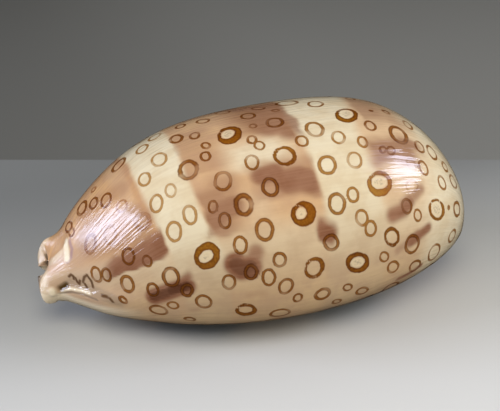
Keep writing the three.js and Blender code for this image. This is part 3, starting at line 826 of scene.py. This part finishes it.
def stroke(pixels, half, soft):
    """One minus a smooth step, from half to half plus soft, of the distance in mm to a line through
    places found on the shell by rays through the pixels."""
    found = [seen_place(*pixel)[1] for pixel in pixels]
    spots = [np.array(spot) for spot in found if spot is not None]
    nearest = np.full(len(outer_place), FAR_OFF_MM)
    for first, second in zip(spots, spots[1:]):
        step = second - first
        part = np.clip((outer_place - first) @ step / (step @ step), 0, 1)
        off = outer_place - first - part[:, None] * step
        nearest = np.minimum(nearest, np.linalg.norm(off, axis=1))
    return over_outside(1 - smooth(nearest, half, half + soft), 0)


def between(value, rise, fall):
    """A smooth step up and a smooth step down again."""
    return smooth(value, *rise) * (1 - smooth(value, *fall))


edges = [spline([a for a, _ in edge], [s for _, s in edge])(degrees) for edge in BAND_EDGES]
edge_mm = [(share_along - edge) * LENGTH_MM + 0.35 * along_wander for edge in edges]
passed = [smooth(distance, -soft, soft) for distance, soft in zip(edge_mm, BAND_SOFT_MM)]
middle_band = passed[1] * (1 - passed[2])
band = 1 - passed[0] + middle_band
band = band + SPIRE_BAND * passed[3] * (1 - smooth(share_along, *SPIRE_BAND_FADE))
band = band * (1 - SIDE_PALING * smooth(np.abs(degrees), *SIDE_DEGREES))
band = band * np.where(share_along < MIDDLE_BAND_FROM, 1.0, MIDDLE_BAND)
band = band - PALE_STRIP * between(edge_mm[0], *PALE_STRIP_MM)
band = np.clip(band * (1 - patch_field(PALE_PATCHES)), 0, 1)
dark_strip = between(edge_mm[0], *DARK_STRIP_MM) * between(degrees, *DARK_STRIP_DEGREES)
patch = np.maximum(patch_field(PATCHES), DARK_STRIP * dark_strip)
for *line, strength, cut in SMUDGES:
    patch = np.maximum(patch, strength * stroke(*line) * (middle_band if cut else 1))

# The canal end's forms raised from the surface or sunk into it: a rounded knob on the rim, the
# ledge's edge standing a little proud over its shadow, and a pit beside it, in mm.
KNOB_MM, EDGE_MM, PIT_MM = 0.25, 0.12, 0.28
pit, rim_knob = stroke(*RIM_PIT), stroke(*RIM_KNOB)
ledge_line, ledge_shadow = stroke(*LEDGE_LINE), stroke(*LEDGE_SHADOW)
raised = KNOB_MM * rim_knob + EDGE_MM * (ledge_line - ledge_shadow) - PIT_MM * pit
place = place + raised[..., None] * normals

# The mesh: the loops joined by quads, with both ends closed by a strip from the outside to the
# hollow and a fan over each lip.
loop_index = (np.arange(rows - 1)[:, None] * around + np.arange(around)).ravel()
next_index = (np.arange(rows - 1)[:, None] * around + (np.arange(around) + 1) % around).ravel()
quads = np.stack([loop_index, next_index, next_index + around, loop_index + around], axis=1)
fold = OUTER_STEPS // INNER_STEPS
steps = np.arange(OUTER_STEPS)
facing_inner = HOLLOW_LAST - np.minimum(steps // fold, INNER_STEPS)
strip = np.stack([steps, facing_inner, steps + 1], axis=1)
turns = np.arange(INNER_STEPS)
outer_of_turn = np.minimum((turns + 1) * fold, OUTER_STEPS)
steps_in = np.stack([outer_of_turn, HOLLOW_LAST - turns, HOLLOW_LAST - turns - 1], axis=1)
near_lip = np.arange(OUTER_STEPS + 1, HOLLOW_FIRST)
near_fan = np.stack([np.full_like(near_lip, OUTER_STEPS), near_lip + 1, near_lip], axis=1)
far_lip = np.arange(HOLLOW_LAST, around - 1)
far_fan = np.stack([np.zeros_like(far_lip), far_lip + 1, far_lip], axis=1)
end_triangles = np.concatenate([strip, steps_in, near_fan, far_fan])
last_row = (rows - 1) * around
faces = (quads.tolist() + end_triangles.tolist()
         + (end_triangles[:, ::-1] + last_row).tolist())

mesh = bpy.data.meshes.new("shell_body")
mesh.from_pydata((place.reshape(-1, 3) / MM_PER_M).tolist(), [], faces)
mesh.validate()
mesh.polygons.foreach_set("use_smooth", np.ones(len(mesh.polygons), bool))

# What the material reads at each point. The rings' fields are distances, and the rest are shares of
# a pigment, of a place on the shell, or of painted shade and painted highlights.
# Painted shade down the sides: it rises from 52 to 98 degrees from the crest and fades to a fifth
# of it towards the spire end.
SIDE_SHADE_DEGREES = (52, 98)
SIDE_SHADE_END, SIDE_SHADE_LOSS = (0.77, 0.84), 0.8
SNOUT_SHARES, SNOUT_DEGREES = (0.12, 0.26), (15, 50)
# The ledge's face is paled, partly its own cream and partly painted light; the canal mouth's far
# side is paled as painted light over its shade.
LEDGE_FACE, LEDGE_FACE_SHARES, LEDGE_FACE_DEGREES = 0.8, (0.14, 0.28), (99, 106)
CANAL_MOUTH, CANAL_MOUTH_SHARES, CANAL_MOUTH_DEGREES = 0.65, (0.015, 0.05), (60, 90)
TOOTH_STAIN_MM = (0.8, 3.4)
TOOTH_STAIN_HIGH_MM = 6

column = np.arange(around)
is_hollow = ((column >= HOLLOW_FIRST) & (column <= HOLLOW_LAST)) + 0 * theta
sides = np.abs(degrees)
ledge_face = (1 - smooth(share_along, *LEDGE_FACE_SHARES)) * smooth(-degrees, *LEDGE_FACE_DEGREES)
canal_mouth = (1 - smooth(share_along, *CANAL_MOUTH_SHARES)) * smooth(degrees, *CANAL_MOUTH_DEGREES)
# The pale paint at the canal end is mostly painted light: painted highlights on the rim's knob, the
# ledge's edge, the lobes' rims and the white streak by the notch, painted light over the shaded
# mouth of the canal, and the ledge's face, partly its own cream and partly painted light.
rim_highlight = np.maximum.reduce([stroke(*rim) for rim in RIM_HIGHLIGHTS])
pale_and_lit_parts = [rim_knob, ledge_line, 0.5 * rim_highlight, stroke(*WHITE_CALLUS_HIGHLIGHT),
              LEDGE_FACE * ledge_face, CANAL_MOUTH * canal_mouth]
beyond_lip = np.abs(place[..., 1] - slit_y(t)) - slit_half(t)
on_lips = (place[..., 2] < TOOTH_STAIN_HIGH_MM) * (1 - is_hollow)
point_values = {
    "first_rings": over_outside(ring_fields[0], NO_LINE),
    "second_rings": over_outside(ring_fields[1], NO_LINE),
    "first_tone": over_outside(ring_tones[0], 0),
    "second_tone": over_outside(ring_tones[1], 0),
    "broad_rings": over_outside(broad_field, NO_RING),
    "broad_tone": over_outside(broad_tone, 1),
    "broad_holes": over_outside(hole_field, NO_RING),
    "pit": pit,
    "scribble": np.maximum.reduce([stroke(line, *SCRIBBLE_LINE_MM) for line in SCRIBBLES]),
    "pale_edge_and_painted_light": np.maximum.reduce(pale_and_lit_parts),
    # painted shadow under the ledge's edge, with a grey band along the ledge
    "ledge_grey_and_shadow": np.clip(0.6 * stroke(*LEDGE_GREY) + 0.9 * ledge_shadow, 0, 1),
    "lilac": stroke(*LILAC_STREAK),
    "snout": (1 - smooth(share_along, *SNOUT_SHARES)) * smooth(-degrees, *SNOUT_DEGREES),
    "band": band,
    "patch": patch,
    "side": smooth(sides, *SIDE_SHADE_DEGREES)
            * (1 - SIDE_SHADE_LOSS * smooth(share_along, *SIDE_SHADE_END)),
    "base": smooth(sides, *BASE_DEGREES),
    "blotch": blotch_field(BASE_BLOTCHES) * smooth(sides, *BASE_DEGREES),
    "hollow": is_hollow,
    "tooth": ridge * (1 - smooth(beyond_lip, *TOOTH_STAIN_MM)) * on_lips,
}
for name, values in point_values.items():
    layer = mesh.attributes.new(name, "FLOAT", "POINT")
    layer.data.foreach_set("value", values.astype(np.float32).ravel())

# The growth lines' own lay: mm along and mm across, leaning towards the crest over the canal end.
LEAN, LEAN_SHARES = 0.6, (0.22, 0.40)
lean = LEAN * (1 - smooth(t, *LEAN_SHARES)) * np.gradient(t, axis=0)
lean_mm = np.cumsum(lean * LENGTH_MM, axis=0)
lay = np.stack([along_mm, across_mm - lean_mm, 0 * theta], axis=-1)
layer = mesh.attributes.new("lay", "FLOAT_VECTOR", "POINT")
layer.data.foreach_set("vector", lay.astype(np.float32).ravel())

# The bake map: the length across it, the outside over most of its height, then lips and hollow, and
# a narrow strip for both closed ends.
UV_EDGE = 0.01
UV_HEIGHTS = (0.01, 0.80, 0.85, 0.94, 0.97)
UV_END_HEIGHTS = (0.976, 0.982)
row_steps = np.linalg.norm(np.diff(place[:, OUTER_STEPS // 2], axis=0), axis=1)
uv_along = np.concatenate([[0.0], row_steps.cumsum()])
uv_along = UV_EDGE + (1 - 2 * UV_EDGE) * uv_along / uv_along[-1]
uv_height = np.interp(np.arange(around + 1),
                      [0, OUTER_STEPS, HOLLOW_FIRST, HOLLOW_LAST, around], UV_HEIGHTS)
corners = np.zeros(len(mesh.loops), int)
mesh.loops.foreach_get("vertex_index", corners)
row_of, column_of = corners // around, corners % around
quad_corners = 4 * len(quads)
height_of = column_of.copy()
wraps = (np.arange(quad_corners) % 4 % 3 != 0) & (column_of[:quad_corners] == 0)
height_of[:quad_corners][wraps] = around
uv = np.stack([uv_along[row_of], uv_height[height_of]], axis=1)
end_column = column_of[quad_corners:]
on_outside = end_column <= OUTER_STEPS
end_inner = (HOLLOW_LAST - np.clip(end_column, HOLLOW_FIRST, HOLLOW_LAST)) / INNER_STEPS
end_share = np.where(on_outside, end_column / OUTER_STEPS, end_inner)
uv[quad_corners:, 0] = UV_EDGE + (1 - 2 * UV_EDGE) * end_share
uv[quad_corners:, 1] = np.where(on_outside, *UV_END_HEIGHTS) + UV_EDGE * (row_of[quad_corners:] > 0)
uv_map = mesh.uv_layers.new(name="OFBake")
uv_map.uv.foreach_set("vector", uv.astype(np.float32).ravel())

shell = bpy.data.objects.new("shell_body", mesh)
bpy.context.scene.collection.objects.link(shell)

# Polished aragonite, as the living animal's mantle leaves it: a clear glossy layer over soft-edged
# pigment. To the eye it is porcelain, with fine growth lines that break the highlights into
# streaks. Colours in pairs are the clear and the cloudy kind.
# The side cream is partly the shell's own tan and partly painted shade, darker down the sides.
CREAM, SHADED_SIDE_CREAM = ("#EDDFBD", "#E4D1AB"), ("#CFB188", "#C4A581")
TAN, BROWN = ("#D8AA78", "#CC9F76"), ("#8A5A3E", "#AA7E62")
HOLE = ("#E9D4AC", "#A3937C")
# the rings' pigments: the stain of a thin one, a deep one's own colour and its share, and its stain
AMBER = ("#CBA055", "#8E5614", "#B88228", 0.5)
UMBER = ("#A87A3A", "#5A2E0A", "#74420C", 0.6)
# How far the rings sway, in half widths of a line and in mm for a broad one.
RING_SWAY, BROAD_SWAY = 0.35, 0.12
# Noise in the growth lines' lay: its dimensions, cells per mm along and across, detail, roughness.
NOISES = {
    # growth lines in the pigment, half a millimetre apart and 20 mm long
    "growth": ("2D", 0.05, 2.2, 4.0, 0.6),
    # the ones that break the highlights, 0.7 mm apart and 5 mm long
    "fine_growth": ("2D", 0.2, 1.5, 1.5, 0.5),
    # cloudy pigment, 4 mm across
    "cloud": ("3D", 0.25, 0.25, 3.0, 0.55),
    # the rings' uneven course, 1.2 mm, their fading, 3 mm, and their grain, 0.35 mm
    "sway": ("3D", 0.8, 0.8, 2.0, 0.5),
    "fading": ("3D", 0.35, 0.35, 1.0, 0.5),
    "grain": ("3D", 2.8, 2.8, 2.0, 0.6),
}
RELIEF_M = 0.0001


def linear(hex_colour):
    """An sRGB colour such as "#E6D8B8" as the linear colour that Blender takes."""
    parts = [int(hex_colour[i:i + 2], 16) / 255 for i in (1, 3, 5)]
    return tuple(c / 12.92 if c <= 0.04045 else ((c + 0.055) / 1.055) ** 2.4 for c in parts) + (1,)


def add_node(tree, inputs=(), kind="", output=0, **settings):
    """Adds a node with its settings, sets or links its inputs, a row or a dict of names or numbers,
    and returns one of its outputs. A text among the inputs is an sRGB colour."""
    node = tree.nodes.new(kind)
    for name, value in settings.items():
        setattr(node, name, value)
    for name, value in inputs.items() if isinstance(inputs, dict) else enumerate(inputs):
        if isinstance(value, bpy.types.NodeSocket):
            tree.links.new(value, node.inputs[name])
        else:
            node.inputs[name].default_value = linear(value) if isinstance(value, str) else value
    return node.outputs[output] if node.outputs else None


# A colour mix takes its factor at 0 and its colours at 6 and 7, and gives its colour at 2.
mix = {"kind": "ShaderNodeMix", "data_type": "RGBA", "output": 2}
stain = {**mix, "blend_type": "MULTIPLY"}
remap = {"kind": "ShaderNodeMapRange"}
ease = {**remap, "interpolation_type": "SMOOTHSTEP"}
times, plus, less, larger, size_only = [
    {"kind": "ShaderNodeMath", "operation": name}
    for name in ("MULTIPLY", "ADD", "SUBTRACT", "MAXIMUM", "ABSOLUTE")
]
attribute = {"kind": "ShaderNodeAttribute"}

aragonite = bpy.data.materials.new("polished_aragonite")
aragonite.use_nodes = True
tree = aragonite.node_tree
tree.nodes.clear()
stored = {name: add_node(tree, output="Fac", attribute_name=name, **attribute)
          for name in point_values}
lay_way = add_node(tree, output="Vector", attribute_name="lay", **attribute)
noise = {}
for name, (axes, along_pace, across_pace, detail, rough) in NOISES.items():
    way = add_node(tree, [lay_way, (along_pace, across_pace, 0.0)],
                   kind="ShaderNodeVectorMath", operation="MULTIPLY")
    noise[name] = add_node(
        tree, {"Vector": way, "Scale": 1.0, "Detail": detail, "Roughness": rough},
        kind="ShaderNodeTexNoise", output="Fac", noise_dimensions=axes)
cloudy = add_node(tree, [noise["cloud"], 0.35, 0.65], **ease)
streaky = add_node(tree, [noise["growth"], 0.3, 0.75], **ease)
grainy = add_node(tree, [noise["grain"], 0.35, 0.65], **ease)
faded = add_node(tree, [noise["fading"], 0.3, 0.5, 0.6, 1.0], **ease)
sway = add_node(tree, [noise["sway"], 0.25, 0.75, -1.0, 1.0], **remap)

# the ground: cream or tan, then what stains it, the painted shade and the painted highlights and
# light, each with its share
cream, shaded_side_cream, tan = [add_node(tree, {0: cloudy, 6: clear, 7: dull}, **mix)
                          for clear, dull in (CREAM, SHADED_SIDE_CREAM, TAN)]
uneven = add_node(tree, [add_node(tree, [part, 0.35], **times)
                         for part in (streaky, cloudy)], **plus)
brown = add_node(tree, {0: uneven, 6: BROWN[0], 7: BROWN[1]}, **mix)
patched = add_node(tree, [stored["patch"], 0.0, 1.0], **ease)
darkest = add_node(tree, [stored["patch"], 1.0, 1.45], **ease)
ground = cream
for part, share, colour in [
    # painted shade, partly the sides' own tan: the darker side cream
    (stored["side"], 1.0, shaded_side_cream),
    (stored["band"], 1.0, tan),
    (streaky, 0.09, "#B08A68"),
    (stored["snout"], 0.6, "#CDAC8E"),
    (patched, 1.0, brown),
    (darkest, 1.0, "#4A200A"),
    (stored["base"], 0.85, "#C9A988"),
    (stored["blotch"], 1.0, "#3E2218"),
    # painted shadow along the ledge, with its grey band
    (stored["ledge_grey_and_shadow"], 0.8, "#8C7A66"),
    (stored["lilac"], 0.55, "#9C7C90"),
    # painted highlights and painted light at the canal end, in pale cream
    (stored["pale_edge_and_painted_light"], 0.92, "#FFEFCE"),
    (stored["scribble"], 0.9, "#5C3A1A"),
    # painted shade: the pit's dark inside
    (stored["pit"], 1.0, "#553C12"),
]:
    part = add_node(tree, [part, share], **times)
    ground = add_node(tree, {0: part, 6: ground, 7: colour}, **mix)

# the thin rings' two layers: where their lines are, how deep their pigment is, and both margins
swaying = add_node(tree, [sway, RING_SWAY], **times)
lines, depths, margins = [], [], []
for name in ("first", "second"):
    tone = stored[name + "_tone"]
    off = add_node(tree, [stored[name + "_rings"], swaying], **plus)
    off = add_node(tree, [off], **size_only)
    line = add_node(tree, [off, 0.75, 1.4, 1.0, 0.0], **ease)
    amount = add_node(tree, [tone, 0.1, 0.7, 0.0, 0.95], **ease)
    amount = add_node(tree, [amount, faded], **times)
    deep = add_node(tree, [tone, 0.5, 1.0], **ease)
    lines.append(add_node(tree, [line, amount], **times))
    depths.append(add_node(tree, [line, deep], **times))
    margins.append(add_node(tree, [off, 0.1, 0.9], **ease))

# the broad rings, and both kinds' colours over the ground, darkest at a ring's margins
swaying = add_node(tree, [sway, BROAD_SWAY], **times)
inward = add_node(tree, [stored["broad_rings"], swaying], **plus)
broad = add_node(tree, [inward, -0.08, 0.10], **ease)
broad_depth = add_node(tree, [broad, stored["broad_tone"]], **times)
pigment = add_node(tree, [add_node(tree, lines, **larger), broad], **larger)
depth = add_node(tree, [add_node(tree, depths, **larger), broad_depth], **larger)
margin = add_node(tree, [inward, 0.05, 0.4], **ease)
margin = add_node(tree, [add_node(tree, margins, **times), margin], **less)
margin = add_node(tree, [add_node(tree, [part, share], **times)
                         for part, share in ((margin, 0.65), (grainy, 0.35))], **plus)
kinds = []
for thin, own, deep, share in (AMBER, UMBER):
    thin, deep = [add_node(tree, {0: 1.0, 6: ground, 7: colour}, **stain)
                  for colour in (thin, deep)]
    deep = add_node(tree, {0: share, 6: own, 7: deep}, **mix)
    kinds.append(add_node(tree, {0: depth, 6: thin, 7: deep}, **mix))
ring = add_node(tree, {0: margin, 6: kinds[0], 7: kinds[1]}, **mix)

# the holes in the broad rings, pale with grey specks
well_in = add_node(tree, [stored["broad_holes"], 0.35, 0.8], **ease)
speck = add_node(tree, [noise["grain"], 0.44, 0.6], **ease)
speck = add_node(tree, [add_node(tree, [well_in, speck], **times), 0.75], **times)
hole = add_node(tree, {0: speck, 6: HOLE[0], 7: HOLE[1]}, **mix)
in_hole = add_node(tree, [stored["broad_holes"], 0.0, 0.3, 0.0, 0.7], **ease)
stained_tooth = add_node(tree, [stored["tooth"], 0.7], **times)
surface = ground
for part, colour in ((pigment, ring), (in_hole, hole), (stained_tooth, "#8A4B2E"),
                     (stored["hollow"], "#DCC4AA")):
    surface = add_node(tree, {0: part, 6: surface, 7: colour}, **mix)

# a dull body under a clear coat, which alone carries the full relief of the growth lines
relief = add_node(tree, [noise["growth"], 0.25], **times)
relief = add_node(tree, [relief, noise["fine_growth"]], **plus)
body_normal, coat_normal = [
    add_node(tree, {"Height": relief, "Strength": strength, "Distance": RELIEF_M},
             kind="ShaderNodeBump") for strength in (0.3, 1.0)
]
porcelain = add_node(tree, {
    "Base Color": surface, "Roughness": 0.3, "IOR": 1.6, "Specular IOR Level": 0.12,
    "Coat Weight": 1.0, "Coat Roughness": 0.06, "Coat IOR": 1.68, "Normal": body_normal,
    "Coat Normal": coat_normal}, kind="ShaderNodeBsdfPrincipled")
add_node(tree, {"Surface": porcelain}, kind="ShaderNodeOutputMaterial")
mesh.materials.append(aragonite)
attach(shell, "root")
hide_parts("shell")


# The floor: a pale, slightly rough board that ends behind the shell, with darker ground beyond it.
# Both are level sheets that change colour smoothly along one way, as the photograph's light does.
FLOOR_BEHIND_MM = 56.0
FLOOR_FRONT_MM = 700.0
FLOOR_SIDE_MM = 1500.0
GROUND_BEHIND_MM = 3000.0
GROUND_BELOW_MM = 0.4
SHADE_M = (-0.055, 0.065)


def flat_stage(name, near, far, level, way, colours, rough):
    """A level rectangle square to the camera's own direction, from near to far of the origin, with
    its colour changing smoothly along a way."""
    ahead = np.array([math.sin(YAW), math.cos(YAW), 0.0])
    across = np.array([math.cos(YAW), -math.sin(YAW), 0.0]) * FLOOR_SIDE_MM
    points = [edge * ahead + side * across
              for edge, side in ((near, -1), (near, 1), (far, 1), (far, -1))]
    sheet_mesh = bpy.data.meshes.new(name)
    sheet_mesh.from_pydata([((point + [0, 0, level]) / MM_PER_M).tolist() for point in points],
                           [], [(0, 1, 2, 3)])
    matter = bpy.data.materials.new(name)
    matter.use_nodes = True
    tree = matter.node_tree
    tree.nodes.clear()
    spot = add_node(tree, kind="ShaderNodeTexCoord", output="Object")
    place_along = add_node(tree, [spot, way], kind="ShaderNodeVectorMath", output="Value",
                           operation="DOT_PRODUCT")
    share = add_node(tree, [place_along, *SHADE_M], **ease)
    tint = add_node(tree, {0: share, 6: colours[0], 7: colours[1]}, **mix)
    face = add_node(tree, {"Base Color": tint, "Roughness": rough}, kind="ShaderNodeBsdfPrincipled")
    add_node(tree, {"Surface": face}, kind="ShaderNodeOutputMaterial")
    sheet_mesh.materials.append(matter)
    sheet_object = bpy.data.objects.new(name, sheet_mesh)
    bpy.context.scene.collection.objects.link(sheet_object)
    sheet_object.visible_glossy = False


flat_stage("floor", -FLOOR_FRONT_MM, FLOOR_BEHIND_MM, 0.0, (0.0, -1.0, 0.0),
           ("#72736F", "#D8D8D3"), 0.9)
flat_stage("ground", FLOOR_BEHIND_MM, GROUND_BEHIND_MM, -GROUND_BELOW_MM, (1.0, 0.0, 0.0),
           ("#5E5D56", "#77766F"), 0.8)


# Soft studio light. A window-like panel off each end, with a dim one over the right one, makes the
# shell's highlights. The fills and the wide panel overhead light it but aren't mirrored in it.
PANELS = [
    # name, its place and what it faces, its width and height, watts, colour, and whether it's
    # mirrored
    ("left_window", (-375, 55, 176), (-28, -8, 19), (222, 176), 1.27, "#DAE4FF", True),
    ("left_fill", (-380, -220, 110), (-20, 0, 12), (200, 160), 0.08, "#FFF6E8", False),
    ("right_window", (385, -95, 248), (23, -15, 24), (170, 175), 0.74, "#DEE6FF", True),
    ("right_upper", (385, -95, 420), (20, -14, 26), (220, 200), 0.17, "#D4DAFF", True),
    ("right_fill", (385, -190, 150), (0, 0, 15), (200, 200), 0.55, "#FFFCF6", False),
    ("overhead", (-60, -260, 520), (0, 0, 15), (420, 360), 1.6, "#FFF6E8", False),
]
SURROUND, SURROUND_STRENGTH = "#C8C8C6", 0.47

for name, place_mm, aim_mm, sides_mm, watts, tint, mirrored in PANELS:
    light = bpy.data.lights.new(name, "AREA")
    light.shape = "RECTANGLE"
    light.size, light.size_y = sides_mm[0] / MM_PER_M, sides_mm[1] / MM_PER_M
    light.energy = watts
    light.color = linear(tint)[:3]
    lamp = bpy.data.objects.new(name, light)
    place_m, aim_m = Vector(place_mm) / MM_PER_M, Vector(aim_mm) / MM_PER_M
    lamp.matrix_world = (Matrix.Translation(place_m)
                         @ (aim_m - place_m).to_track_quat("-Z", "Y").to_matrix().to_4x4())
    lamp.visible_glossy = mirrored
    bpy.context.scene.collection.objects.link(lamp)

world = bpy.data.worlds.new("studio")
world.use_nodes = True
background = world.node_tree.nodes["Background"]
background.inputs[0].default_value = linear(SURROUND)
background.inputs[1].default_value = SURROUND_STRENGTH
world.cycles_visibility.glossy = False
bpy.context.scene.world = world
bpy.context.scene.view_settings.view_transform = "Standard"
